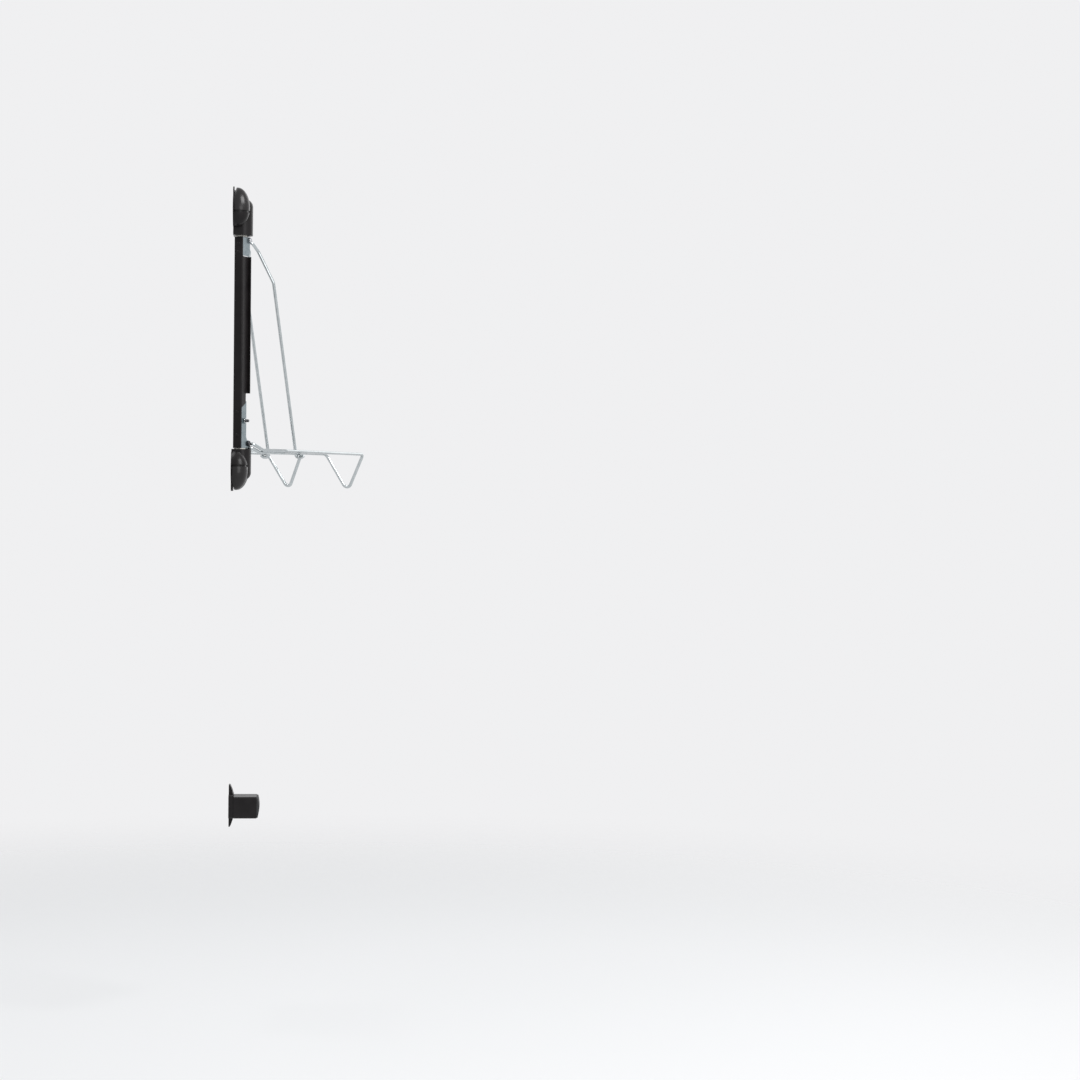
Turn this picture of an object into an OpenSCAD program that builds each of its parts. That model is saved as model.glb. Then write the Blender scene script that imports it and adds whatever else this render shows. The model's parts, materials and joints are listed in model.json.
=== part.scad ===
// Wall-mounted swivelling rack with folding wire arms. All lengths are in millimetres.
// The wall is the plane y = 0, the rack stands out of it towards -y, +x is to the right
// for someone facing the wall, and +z is up. The origin is on the wall, in the middle
// of the lower bracket's back. Each swinging piece is drawn with the arms straight out
// of the wall, and turned_out() then turns it about the swivel axis to its place.

/* [Wall brackets] */
// Height between the middles of the two wall brackets
bracket_spacing = 539; // [500:1:640]
// Distance from the wall to the swivel axis
axis_out = 16; // [15:0.5:20]
// Distance between the two screws of one bracket
screw_spread = 64; // [60:1:80]
// Height of the screw above the middle of its lobe, towards the bracket's outer end
screw_rise = 6; // [2:1:12]
// Diameter of each screw hole
screw_hole_d = 6.5; // [4:0.5:8]
// Thickness of the plate that lies on the wall
plate_t = 2.6; // [2:0.2:4]
// Thickness of the pad round each screw hole
screw_pad_t = 6; // [5:0.5:9]
// Greatest radius of a lobe about its own upright axis
lobe_r = 25.5; // [23:0.5:27]
// Distance from the wall to the lobe's own axis
lobe_out = 9; // [7:0.5:11]
// Length of the lobe from its middle to its outer tip
lobe_tip = 42; // [38:1:48]
// Length of the lobe from its middle to its inner end
lobe_base = 38; // [32:0.5:38]
// Wall thickness of the lobes
lobe_wall = 2.4; // [1.8:0.2:3]
// Distance from a lobe's middle to the edge of its screw cover, towards the inner end
cover_edge = 6; // [1:1:10]
// Width of the groove between a lobe and its screw cover
cover_groove = 4; // [2:0.5:6]
// Radius of the pivot housing about the swivel axis
housing_r = 24; // [22:0.5:28]
// Rounding of the housing's outer end
housing_round = 17; // [6:1:18]
// From the top bracket's middle down to the face that the body turns against
top_reach = 54; // [50:1:64]
// From the bottom bracket's middle up to the face that the body rests on
bottom_reach = 43; // [40:1:60]
// From a bracket's middle to the closed outer end of its housing
outer_reach = 22; // [14:1:24]

/* [Swivel] */
// Turn of the arms to the right of straight out, as the model is drawn
turned = 64.3; // [0:0.1:72]
// Diameter of the pivot pins
pin_d = 12; // [10:0.5:14]
// Radial clearance of a turning pin or bolt in its bore
running_fit = 0.05; // [0.02:0.01:0.1]
// Radial clearance of a pin, bolt or rivet in the sheet that holds it
hole_fit = 0.1; // [0.05:0.01:0.2]
// Wall thickness of the pivot bushes
bush_wall = 3; // [2:0.5:4]
// Thickness of the bush flanges
bush_flange_t = 2; // [1.5:0.5:3]
// Length of a pin inside its bush
pin_grip = 46; // [30:1:50]
// Clearance between the lower bush flange and the body that rests on it
seat_gap = 0.2; // [0.1:0.1:0.5]
// Clearance between the body and the upper bush flange
head_gap = 0.8; // [0.5:0.1:1.5]

/* [Body channel] */
// Outside width of the channel
body_w = 20; // [20:0.5:24]
// From the swivel axis back to the channel's back face
body_back = 13; // [11:0.5:13]
// From the swivel axis out to the channel's front edge
body_front = 15; // [14:0.5:20]
// Thickness of the channel's sheet
sheet = 2; // [1.5:0.25:2]
// Outside radius of the channel's back corners
body_corner = 3.5; // [3:0.5:5]
// Width over the two front lips
lip_w = 32; // [30:1:38]
// Height of the side cut at the bottom, along the front edge
low_cut_front = 116; // [110:1:160]
// Height of the side cut at the bottom, where the side is narrowed
low_cut_middle = 96; // [85:1:110]
// Height of the side cut at the bottom, along the back
low_cut_back = 86; // [80:1:110]
// From the swivel axis out to the narrowed side's front edge
low_neck = 7; // [4:0.5:12]
// Height of the side cut at the top
high_cut = 43; // [42:1:60]

/* [Hinge brackets] */
// Thickness of the hinge bracket sheet
ear_t = 2.5; // [2:0.25:3]
// Side play between a hinge bracket and the channel
nest_gap = 0.1; // [0.05:0.05:0.3]
// Distance of the lower hinge bolt from the swivel axis
low_hinge_out = 23; // [22:0.5:26]
// Height of the lower hinge bolt over the lower bearing face
low_hinge_rise = 12; // [12:0.5:15]
// Distance of the upper hinge bolt from the swivel axis
high_hinge_out = 21; // [20:0.5:24]
// Depth of the upper hinge bolt below the upper bearing face
high_hinge_drop = 8; // [8:0.5:12]
// Radius of the bracket round a hinge bolt
ear_r = 7; // [6:0.25:7.25]
// Height of the lower hinge bracket at its front edge
low_bracket_h = 100; // [80:1:110]
// Height of the upper hinge bracket
high_bracket_h = 41; // [36:1:41]
// Diameter of the hinge bolts
hinge_bolt_d = 6; // [5:0.5:6]
// Diameter of the cross bolt
cross_bolt_d = 6; // [5:0.5:6]
// Height of the cross bolt over the lower bearing face
cross_bolt_rise = 59; // [45:1:70]
// Diameter of the rivets
rivet_d = 5; // [4:0.5:6]

/* [Lower arm] */
// Diameter of all the wire
wire_d = 7; // [6:0.25:7.25]
// Distance of the arm's front corners from the swivel axis
arm_reach = 509; // [440:1:540]
// Half the distance between the middles of the cradle wire's two sides
cradle_half = 40.8; // [40.8:0.1:44]
// Distance from the swivel axis to the corners of the cradle
cradle_out = 206; // [190:1:230]
// How far the foot of the cradle leans out from its corners
cradle_lean = 23; // [10:1:30]
// Depth of the cradle's sharp foot below its corners, before it is rounded
cradle_drop = 78; // [60:1:90]
// Radius of the cradle's foot
cradle_foot_r = 8; // [6:1:14]
// How far the foot of the front loop leans out from its corners
loop_lean = 18; // [5:1:30]
// Depth of the front loop's sharp foot below its corners, before it is rounded
loop_drop = 85; // [70:1:100]
// Radius of the front loop's foot
loop_foot_r = 10; // [8:1:20]
// Level of the arm's sides below the lower bearing face
side_drop = 1; // [0:0.5:3]
// Distance from the swivel axis to where the arm reaches its full width
shoulder_out = 120; // [110:1:124]

/* [Upper arm] */
// Distance of the upper arm's elbow from the swivel axis
elbow_out = 84; // [78:1:90]
// Depth of the elbow below the upper bearing face
elbow_drop = 91; // [85:1:110]
// Side clearance between the upper arm and the cradle wire
arm_gap = 1; // [0.8:0.1:1.5]
// Clearance of the hooks under the cradle wire
hook_gap = 1; // [0.5:0.1:2]

/* [Tail rest] */
// Depth of the tail rest's middle below the lower bracket's middle
rest_drop = 698; // [600:1:800]
// Height of the tail rest's plate
rest_plate_h = 88; // [80:1:100]
// Thickness of the tail rest's plate behind the block
rest_plate_t = 9.5; // [6:0.5:11]
// Thickness of the plate at its thin upper and lower ends
rest_end_t = 2.5; // [2:0.5:4]
// Width of the tail rest
rest_w = 60; // [50:1:80]
// Height of the tail rest's block
rest_block_h = 45; // [40:1:48]
// How far the block's middle lies below the plate's middle
rest_block_drop = 2; // [0:0.5:3]
// Distance from the wall to the block's front
rest_block_out = 58; // [45:1:70]
// Thickness of the soft pad on the block's front, in its middle
rest_pad_t = 5; // [4:0.5:7]
// Distance between the tail rest's two screws
rest_screw_gap = 66; // [65:0.5:66]

/* [Hidden] */
$fn = 48;

BLACK = "#1b1b1d";
GLOSS_BLACK = "#232326";
NYLON = "#d9d6cb";
ZINC = "#b9c1c6";
STEEL = "#8f9396";
DARK_STEEL = "#3a3c3f";
RUBBER = "#2b2b2c";

// Heights of the two faces that the body turns between
low_face = bottom_reach;
high_face = bracket_spacing - top_reach;
body_low = low_face + bush_flange_t + seat_gap;
body_high = high_face - bush_flange_t - head_gap;

// The bush's bore in the housing, and its flange
bush_r = pin_d / 2 + running_fit + bush_wall;
bush_flange_r = bush_r + 3;
bush_depth = pin_grip + 4;

// The hinge brackets, nested in the channel
nest_w = body_w - 2 * sheet - 2 * nest_gap;
nest_back = body_back - sheet;
ear_inside = nest_w / 2 - ear_t;
end_flange_t = 3;
low_hinge_z = low_face + low_hinge_rise;
high_hinge_z = high_face - high_hinge_drop;
cross_bolt_z = low_face + cross_bolt_rise;
plate_front = 14;
bracket_slant = 12;

// Hinge barrels and the washers beside them
washer_t = 0.8;
side_play = 0.1;
barrel_half = ear_inside - washer_t - 2 * side_play;
low_barrel_r = 8;
high_barrel_r = 7.5;
hex_flats = 10;
head_t = 4;
nut_t = 5;
sleeve_r = hinge_bolt_d / 2 + running_fit + 2;
thread_end = 2.5;

// The wire, and the small swelling at the end of each straight that joins it to its bend
wire_r = wire_d / 2;
join_swell = 0.1;
weld_gap = 0.15;
end_gap = 0.25;

// The arm wire lies beside and above the cradle wire, touching it along a line
stack_angle = 38;
stack_side = (wire_d + weld_gap) * cos(stack_angle);
stack_drop = (wire_d + weld_gap) * sin(stack_angle);
arm_half = cradle_half + stack_side;
side_z = low_face - side_drop;
cradle_z = side_z - stack_drop;
jog_out = 62;
jog_half = 24;
jog_lead = 6;
spread_angle = atan2(arm_half - jog_half, shoulder_out - jog_out);

// The hooks reach under both wires, just short of the cradle's corners
hook_back = 8;
hook_side = cradle_half - wire_d - arm_gap;
hook_z = cradle_z - wire_d - hook_gap;
hook_tip_side = arm_half + 5;
hook_tip_rise = 4;

// The tail rest
rest_z = -rest_drop;
rest_wall = 3;
rest_screw_d = 5.5;
rest_seat_d = 10;
rest_seat_t = 4.5;
block_z = rest_z - rest_block_drop;

// A point of the swinging pieces: distance out from the swivel axis, sideways, and height
function at(out, side, z) = [side, -out, z];
function mirrored(p) = [-p.x, p.y, p.z];
function backwards(list) = [for (i = [len(list) - 1:-1:0]) list[i]];
function unit(v) = v / norm(v);
function square_to(v) = abs(v.z) < 0.9 ? unit(cross([0, 0, 1], v)) : unit(cross([1, 0, 0], v));
function turn(a, b, c) = acos(unit(b - a) * unit(c - b));
function setback(a, b, c, r) = r * tan(turn(a, b, c) / 2);

// Turns the swinging pieces about the swivel axis
module turned_out() {
    translate([0, -axis_out, 0]) rotate([0, 0, turned]) children();
}

// Draws a side outline, given as distance out and height, as a plate of some width
module sideways_plate(width) {
    rotate([90, 0, -90]) linear_extrude(width, center = true) children();
}

// Lays an upright piece along x, with its base at some sideways place
module lying(out, side, z) {
    translate(at(out, side, z)) rotate([0, 90, 0]) children();
}

module hexagon_prism(flats, height) {
    cylinder(h = height, d = flats / cos(30), $fn = 6);
}

module in_axes(origin, x, y, z) {
    multmatrix([[x.x, y.x, z.x, origin.x], [x.y, y.y, z.y, origin.y],
                [x.z, y.z, z.z, origin.z], [0, 0, 0, 1]]) children();
}

// A straight with a swelling at each end that runs on into a bend
module straight(a, b, swell_a, swell_b) {
    along = unit(b - a);
    x = square_to(along);
    in_axes(a, x, cross(along, x), along) {
        cylinder(h = norm(b - a), d = wire_d);
        if (swell_a) sphere(d = wire_d + join_swell);
        if (swell_b) translate([0, 0, norm(b - a)]) sphere(d = wire_d + join_swell);
    }
}

module bend(a, b, c, r) {
    along = unit(b - a);
    inward = unit(unit(c - b) - (unit(c - b) * along) * along);
    centre = b - setback(a, b, c, r) * along + r * inward;
    in_axes(centre, -inward, along, cross(-inward, along))
        rotate_extrude(angle = turn(a, b, c)) translate([r, 0]) circle(d = wire_d);
}

// One bent wire through the points of a path, with a bend radius at each point
module wire(path, radii) {
    last = len(path) - 1;
    back = [for (i = [0:last]) i == 0 || i == last ? 0
        : setback(path[i - 1], path[i], path[i + 1], radii[i])];
    for (i = [0:last - 1]) {
        along = unit(path[i + 1] - path[i]);
        straight(path[i] + back[i] * along, path[i + 1] - back[i + 1] * along, i > 0, i < last - 1);
    }
    for (i = [1:last - 1])
        bend(path[i - 1], path[i], path[i + 1], radii[i]);
}

// A lobe's outline from its inner end (-90 degrees) to its outer tip (90 degrees)
function lobe_point(angle, inset) = [
    max((lobe_r - inset) * cos(angle), 0),
    (angle < 0 ? lobe_base - inset : lobe_tip - inset) * sin(angle)];

module lobe_form(inset) {
    steps = 20;
    rotate_extrude() polygon([for (i = [0:steps]) lobe_point(-90 + 180 * i / steps, inset)]);
}

// Everything of one lobe's region between two heights, clear of the wall
module lobe_band(low, high, from_wall) {
    size = 2 * lobe_r + 10;
    translate([-size / 2, -size - from_wall, low]) cube([size, size, high - low]);
}

module lobe_shell(inset, low, high, from_wall) {
    intersection() {
        difference() {
            translate([0, -lobe_out, 0]) lobe_form(inset);
            translate([0, -lobe_out, 0]) lobe_form(inset + lobe_wall);
        }
        lobe_band(low, high, from_wall);
    }
}

module at_both_lobes() {
    for (side = [-1, 1])
        translate([side * screw_spread / 2, 0, 0]) children();
}

// The plate on the wall, as wide as the lobes and a little longer
module bracket_plate() {
    edge = 1.5;
    rotate([90, 0, 0]) linear_extrude(plate_t) union() {
        for (side = [-1, 1])
            translate([side * screw_spread / 2, 0]) {
                circle(r = lobe_r + edge);
                translate([-11, 0]) square([22, lobe_tip - 9]);
                translate([0, lobe_tip - 9]) circle(r = 11);
                translate([-14, -lobe_base + 14]) square([28, lobe_base - 14]);
                translate([0, -lobe_base + 14]) circle(r = 14);
            }
        translate([-screw_spread / 2, -lobe_base]) square([screw_spread, lobe_base + outer_reach]);
    }
}

// The pivot housing, drawn for a bracket whose outer end is up, and grown for its clearance
module housing(reach, grow) {
    height = reach + outer_reach + grow;
    r = housing_r + grow;
    translate([0, -axis_out, -reach]) {
        rotate_extrude() union() {
            square([r, height - housing_round]);
            square([r - housing_round, height]);
            intersection() {
                translate([r - housing_round, height - housing_round]) circle(r = housing_round);
                square([r, height]);
            }
        }
        translate([-r, 0, 0]) cube([2 * r, axis_out, height - housing_round]);
    }
}

// One wall bracket with its outer end up: the housing hangs down by its reach
module bracket(reach) {
    sleeve_inset = lobe_wall + 0.2;
    difference() {
        union() {
            difference() {
                union() {
                    bracket_plate();
                    housing(reach, 0);
                    at_both_lobes() {
                        lobe_shell(0, -lobe_base, -cover_groove - cover_edge, 0);
                        lobe_shell(sleeve_inset, -lobe_base, 3, 0);
                    }
                }
                at_both_lobes() intersection() {
                    translate([0, -lobe_out, 0]) lobe_form(sleeve_inset + lobe_wall);
                    lobe_band(-lobe_base, lobe_tip, plate_t);
                }
            }
            at_both_lobes() translate([0, 0, screw_rise]) rotate([90, 0, 0])
                cylinder(h = screw_pad_t, r = screw_hole_d / 2 + 4);
        }
        at_both_lobes() translate([0, 1, screw_rise]) rotate([90, 0, 0])
            cylinder(h = screw_pad_t + 2, d = screw_hole_d);
        translate([0, -axis_out, -reach - 1]) cylinder(h = bush_depth + 2, r = bush_r);
        translate([-2 * screw_spread, 0, -2 * screw_spread]) cube(4 * screw_spread);
    }
}

// The two push-fit covers of a bracket, with a slit between their tips and the plate
module screw_covers() {
    slit = 5;
    slit_h = 17;
    difference() {
        at_both_lobes() lobe_shell(0, -cover_edge, lobe_tip + 1, plate_t + 0.2);
        housing(cover_edge + 1, 0.3);
        sideways_plate(4 * screw_spread)
            polygon([[0, lobe_tip - slit_h], [plate_t + 0.3, lobe_tip - slit_h],
                     [plate_t + slit, lobe_tip + 1], [0, lobe_tip + 1]]);
    }
}

// The flanged bush, with its flange at the bottom
module pivot_bush() {
    rotate_extrude() translate([pin_d / 2 + running_fit, 0]) union() {
        square([bush_wall - 0.05, bush_depth]);
        translate([0, -bush_flange_t]) square([bush_flange_r - pin_d / 2 - running_fit, bush_flange_t]);
    }
}

// The pin: its riveted head lies under the end flange, flattened to fit between the two sides
module pivot_pin(gap) {
    head_h = 2;
    head_r = pin_d / 2 + 2;
    flat = ear_inside - 0.1;
    hold = end_flange_t + gap + bush_flange_t;
    translate([0, 0, -hold]) cylinder(h = hold + pin_grip, d = pin_d);
    translate([0, 0, -hold - head_h]) intersection() {
        cylinder(h = head_h, r = head_r);
        translate([-flat, -head_r, 0]) cube([2 * flat, 2 * head_r, head_h]);
    }
}

module channel_section(grow, front) {
    half = body_w / 2 - grow;
    r = body_corner - grow;
    back = body_back - grow;
    translate([-half, -front]) square([2 * half, front + back - r]);
    translate([-half + r, -front]) square([2 * (half - r), front + back]);
    for (side = [-1, 1])
        translate([side * (half - r), back - r]) circle(r = r);
}

module rivet_places() {
    for (z = [body_low + 26, body_low + 74, body_high - 14, body_high - 32])
        translate(at(-nest_back, 0, z)) children();
}

module top_bracket() {
    color(BLACK) translate([0, 0, bracket_spacing]) bracket(top_reach);
}

module top_screw_covers() {
    color(GLOSS_BLACK) translate([0, 0, bracket_spacing]) screw_covers();
}

module top_pivot_bush() {
    color(NYLON) translate([0, -axis_out, high_face]) pivot_bush();
}

module top_pivot_pin() {
    color(STEEL) turned_out() translate([0, 0, high_face]) pivot_pin(head_gap);
}

module bottom_bracket() {
    color(BLACK) mirror([0, 0, 1]) bracket(bottom_reach);
}

module bottom_screw_covers() {
    color(GLOSS_BLACK) mirror([0, 0, 1]) screw_covers();
}

module bottom_pivot_bush() {
    color(NYLON) translate([0, -axis_out, low_face]) mirror([0, 0, 1]) pivot_bush();
}

module bottom_pivot_pin() {
    color(STEEL) turned_out() translate([0, 0, low_face]) mirror([0, 0, 1]) pivot_pin(seat_gap);
}

module body_channel() {
    lip_side = (lip_w - body_w) / 2 + sheet;
    cut_back = sheet - body_back + 0.5;
    past = lip_w;
    color(BLACK) turned_out() difference() {
        translate([0, 0, body_low]) linear_extrude(body_high - body_low) difference() {
            union() {
                channel_section(0, body_front);
                for (side = [-1, 1])
                    translate([side * (lip_w - lip_side) / 2 - lip_side / 2, -body_front])
                        square([lip_side, sheet]);
            }
            channel_section(sheet, body_front + 1);
        }
        sideways_plate(2 * past)
            polygon([[cut_back, body_low - 1], [past, body_low - 1],
                     [past, low_face + low_cut_front], [low_neck, low_face + low_cut_front],
                     [low_neck, low_face + low_cut_middle], [cut_back, low_face + low_cut_back]]);
        sideways_plate(2 * past)
            polygon([[cut_back, body_high + 1], [past, body_high + 1],
                     [past, high_face - high_cut], [cut_back, high_face - high_cut]]);
        rivet_places() rotate([90, 0, 0]) cylinder(h = 4 * sheet, d = rivet_d + 2 * hole_fit, center = true);
    }
}

module body_rivets() {
    head = 1.4;
    grip = sheet + ear_t;
    color(BLACK) turned_out() rivet_places() rotate([90, 0, 0]) {
        translate([0, 0, -sheet - head]) cylinder(h = grip + 2 * head, d = rivet_d);
        translate([0, 0, -sheet - head]) cylinder(h = head, r1 = rivet_d / 2 + 0.6, r2 = rivet_d / 2 + 1.6);
        translate([0, 0, ear_t]) cylinder(h = head, r1 = rivet_d / 2 + 1.6, r2 = rivet_d / 2 + 0.6);
    }
}

// A folded bracket of two side plates and a back, closed by a flange with the pin's hole
module folded_bracket(low, high, reach, flange_low) {
    corner = 4.5;
    flange_front = 12;
    difference() {
        intersection() {
            translate([0, 0, low]) linear_extrude(high - low) union() {
                translate([-nest_w / 2, -reach]) square([nest_w, reach + nest_back - corner]);
                translate([corner - nest_w / 2, -reach]) square([nest_w - 2 * corner, reach + nest_back]);
                for (side = [-1, 1])
                    translate([side * (nest_w / 2 - corner), nest_back - corner]) circle(r = corner);
            }
            sideways_plate(2 * nest_w) children();
        }
        difference() {
            translate([-ear_inside, -reach - 1, low - 1])
                cube([2 * ear_inside, reach + 1 + nest_back - ear_t, high - low + 2]);
            translate([-nest_w, -flange_front, flange_low])
                cube([2 * nest_w, flange_front + nest_back, end_flange_t]);
        }
        rivet_places() rotate([90, 0, 0]) cylinder(h = 4 * ear_t, d = rivet_d + 2 * hole_fit, center = true);
        translate([0, 0, flange_low - 1]) cylinder(h = end_flange_t + 2, d = pin_d + 2 * hole_fit);
    }
}

module upper_hinge_bracket() {
    low = high_face - high_bracket_h;
    color(ZINC) turned_out() difference() {
        folded_bracket(low, high_face, high_hinge_out + ear_r + 1, body_high - end_flange_t) union() {
            translate([high_hinge_out, high_hinge_z]) circle(r = ear_r);
            polygon([[-nest_back, low], [20, low], [24, low + 8], [24, high_hinge_z - 4],
                     [high_hinge_out, high_hinge_z + ear_r], [12, body_high], [-nest_back, body_high]]);
        }
        lying(high_hinge_out, -nest_w, high_hinge_z)
            cylinder(h = 2 * nest_w, d = hinge_bolt_d + 2 * hole_fit);
    }
}

module lower_hinge_bracket() {
    high = low_face + low_bracket_h;
    ear_low = low_hinge_z - ear_r;
    color(ZINC) turned_out() difference() {
        folded_bracket(body_low, high, low_hinge_out + ear_r + 1, body_low) union() {
            translate([low_hinge_out, low_hinge_z]) circle(r = ear_r);
            polygon([[-nest_back, body_low], [12, body_low], [plate_front, ear_low],
                     [low_hinge_out, ear_low], [low_hinge_out - 4, low_hinge_z + 5],
                     [plate_front, low_hinge_z + 14], [plate_front, high],
                     [-nest_back, high - bracket_slant]]);
        }
        lying(low_hinge_out, -nest_w, low_hinge_z)
            cylinder(h = 2 * nest_w, d = hinge_bolt_d + 2 * hole_fit);
        lying(2, -nest_w, cross_bolt_z) cylinder(h = 2 * nest_w, d = cross_bolt_d + 2 * hole_fit);
    }
}

// A hexagon bolt along x: its head is on the left, its shank passes the nut on the right
module hinge_bolt(out, z) {
    shank = nest_w + nut_t + thread_end;
    lying(out, -nest_w / 2, z) cylinder(h = shank, d = hinge_bolt_d);
    lying(out, -nest_w / 2 - head_t, z) hexagon_prism(hex_flats, head_t);
}

module hinge_nut(out, z) {
    lying(out, nest_w / 2, z) difference() {
        union() {
            hexagon_prism(hex_flats, nut_t - 1.5);
            cylinder(h = nut_t, d = hex_flats - 1.5);
        }
        translate([0, 0, -1]) cylinder(h = nut_t + 2, d = hinge_bolt_d);
    }
}

module ring_along_x(out, z, side, length, outer_r, bore_r) {
    lying(out, side, z) difference() {
        cylinder(h = length, r = outer_r);
        translate([0, 0, -1]) cylinder(h = length + 2, r = bore_r);
    }
}

module hinge_washers(out, z) {
    bore_r = hinge_bolt_d / 2 + running_fit;
    for (side = [-ear_inside + side_play / 2, barrel_half + side_play * 1.5])
        ring_along_x(out, z, side, washer_t, ear_r - 0.2, bore_r);
}

module hinge_barrel(out, z, outer_r) {
    ring_along_x(out, z, -barrel_half, 2 * barrel_half, outer_r, sleeve_r);
}

module hinge_sleeve(out, z) {
    ring_along_x(out, z, -barrel_half, 2 * barrel_half, sleeve_r, hinge_bolt_d / 2 + running_fit);
}

module upper_hinge_bolt() {
    color(STEEL) turned_out() hinge_bolt(high_hinge_out, high_hinge_z);
}

module upper_hinge_nut() {
    color(STEEL) turned_out() hinge_nut(high_hinge_out, high_hinge_z);
}

module upper_hinge_washers() {
    color(NYLON) turned_out() hinge_washers(high_hinge_out, high_hinge_z);
}

module upper_arm_barrel() {
    color(ZINC) turned_out() hinge_barrel(high_hinge_out, high_hinge_z, high_barrel_r);
}

module upper_arm_sleeve() {
    color(NYLON) turned_out() hinge_sleeve(high_hinge_out, high_hinge_z);
}

module upper_arm_wire() {
    grip = high_barrel_r + wire_r + weld_gap;
    start_out = high_hinge_out + grip * cos(15);
    start_z = high_hinge_z - grip * sin(15);
    hook_out = cradle_out - hook_back;
    half = [at(start_out, 8, start_z), at(57, 10, start_z - 16),
        at(elbow_out, hook_side, high_face - elbow_drop),
        at(hook_out, hook_side, hook_z), at(hook_out, hook_tip_side - 6, hook_z),
        at(hook_out, hook_tip_side, hook_z + hook_tip_rise)];
    radii = [6.5, 12, 20, 6, 5, 0];
    color(ZINC) turned_out()
        wire(concat(backwards([for (p = half) mirrored(p)]), half), concat(backwards(radii), radii));
}

module lower_hinge_bolt() {
    color(DARK_STEEL) turned_out() hinge_bolt(low_hinge_out, low_hinge_z);
}

module lower_hinge_nut() {
    color(STEEL) turned_out() hinge_nut(low_hinge_out, low_hinge_z);
}

module lower_hinge_washers() {
    color(NYLON) turned_out() hinge_washers(low_hinge_out, low_hinge_z);
}

module lower_arm_barrel() {
    color(ZINC) turned_out() hinge_barrel(low_hinge_out, low_hinge_z, low_barrel_r);
}

module lower_arm_sleeve() {
    color(NYLON) turned_out() hinge_sleeve(low_hinge_out, low_hinge_z);
}

// The cross bolt's head is on the right and its long thread shows on the left
module cross_bolt() {
    tail = 12;
    color(DARK_STEEL) turned_out() {
        lying(2, -nest_w / 2 - tail, cross_bolt_z) cylinder(h = nest_w + tail, d = cross_bolt_d);
        lying(2, nest_w / 2, cross_bolt_z) hexagon_prism(hex_flats, head_t);
    }
}

module cross_bolt_nut() {
    color(ZINC) turned_out() lying(2, -nest_w / 2 - nut_t, cross_bolt_z) difference() {
        hexagon_prism(hex_flats, nut_t);
        translate([0, 0, -1]) cylinder(h = nut_t + 2, d = cross_bolt_d);
    }
}

module cross_bolt_spacer() {
    color(ZINC) turned_out()
        ring_along_x(2, cross_bolt_z, -ear_inside, 2 * ear_inside, cross_bolt_d / 2 + 1.5,
            cross_bolt_d / 2 + hole_fit);
}

// A closed loop of wire: its two ends all but meet in the middle of its cross piece
module closed_wire(half, foot, radii, foot_r) {
    wire(concat(half, [foot], backwards([for (p = half) mirrored(p)])),
         concat(radii, [foot_r], backwards(radii)));
}

module lower_arm_wire() {
    grip = low_barrel_r + wire_r + weld_gap;
    start = low_hinge_out + grip;
    half = [at(start, end_gap, low_hinge_z), at(start, 13, low_hinge_z), at(jog_out, jog_half, side_z),
        at(shoulder_out, arm_half, side_z), at(arm_reach, arm_half, side_z)];
    color(ZINC) turned_out()
        closed_wire(half, at(arm_reach + loop_lean, 0, side_z - loop_drop), [0, 7, 14, 25, 13],
            loop_foot_r);
}

module lower_cradle_wire() {
    grip = low_barrel_r + wire_r + weld_gap;
    start = low_hinge_out + grip * cos(45);
    start_z = low_hinge_z - grip * sin(45);
    half = [at(start, end_gap, start_z), at(start, 11, start_z),
        at(jog_out + stack_side * sin(spread_angle) - jog_lead * cos(spread_angle),
           jog_half - stack_side * cos(spread_angle) - jog_lead * sin(spread_angle), cradle_z),
        at(shoulder_out + stack_side * tan(spread_angle / 2), cradle_half, cradle_z),
        at(cradle_out, cradle_half, cradle_z)];
    color(ZINC) turned_out()
        closed_wire(half, at(cradle_out + cradle_lean, 0, cradle_z - cradle_drop), [0, 7, 14, 25, 9],
            cradle_foot_r);
}

module rest_screw_places() {
    for (side = [-1, 1])
        translate([0, 0, rest_z + side * rest_screw_gap / 2]) rotate([90, 0, 0]) children();
}

// The plate lies on the wall. Its ends are drawn in, and slope away from the block to thin tips
module tail_rest_plate() {
    end_half = 13;
    end_r = 6;
    flat_half = rest_block_h / 2 + rest_block_drop;
    tip = rest_plate_h / 2;
    behind = (tip * tip - flat_half * flat_half - rest_plate_t * rest_plate_t + rest_end_t * rest_end_t)
        / (2 * (rest_plate_t - rest_end_t));
    color(BLACK) difference() {
        intersection() {
            translate([0, 0, rest_z]) rotate([90, 0, 0]) linear_extrude(rest_plate_t) union() {
                block_outline(rest_w, 2 * flat_half, end_r);
                block_outline(2 * end_half, rest_plate_h, end_r);
            }
            translate([-rest_w, behind, rest_z]) rotate([0, 90, 0])
                cylinder(h = 2 * rest_w, r = norm([tip, behind + rest_end_t]), $fn = 360);
        }
        rest_screw_places() translate([0, 0, -1]) cylinder(h = rest_plate_t + 2, d = rest_screw_d);
        rest_screw_places() translate([0, 0, rest_seat_t]) cylinder(h = rest_plate_t, d = rest_seat_d);
    }
}

// A hollow block, open towards the plate
module tail_rest_block() {
    depth = rest_block_out - rest_plate_t;
    r = 5;
    color(BLACK) translate([0, -rest_plate_t, block_z]) difference() {
        rotate([90, 0, 0]) linear_extrude(depth) block_outline(rest_w, rest_block_h, r);
        translate([0, 1, 0]) rotate([90, 0, 0]) linear_extrude(depth - rest_wall + 1)
            block_outline(rest_w - 2 * rest_wall, rest_block_h - 2 * rest_wall, r - rest_wall);
    }
}

module block_outline(w, h, r) {
    square([w - 2 * r, h], center = true);
    square([w, h - 2 * r], center = true);
    for (x = [-1, 1], y = [-1, 1])
        translate([x * (w / 2 - r), y * (h / 2 - r)]) circle(r = r);
}

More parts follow.
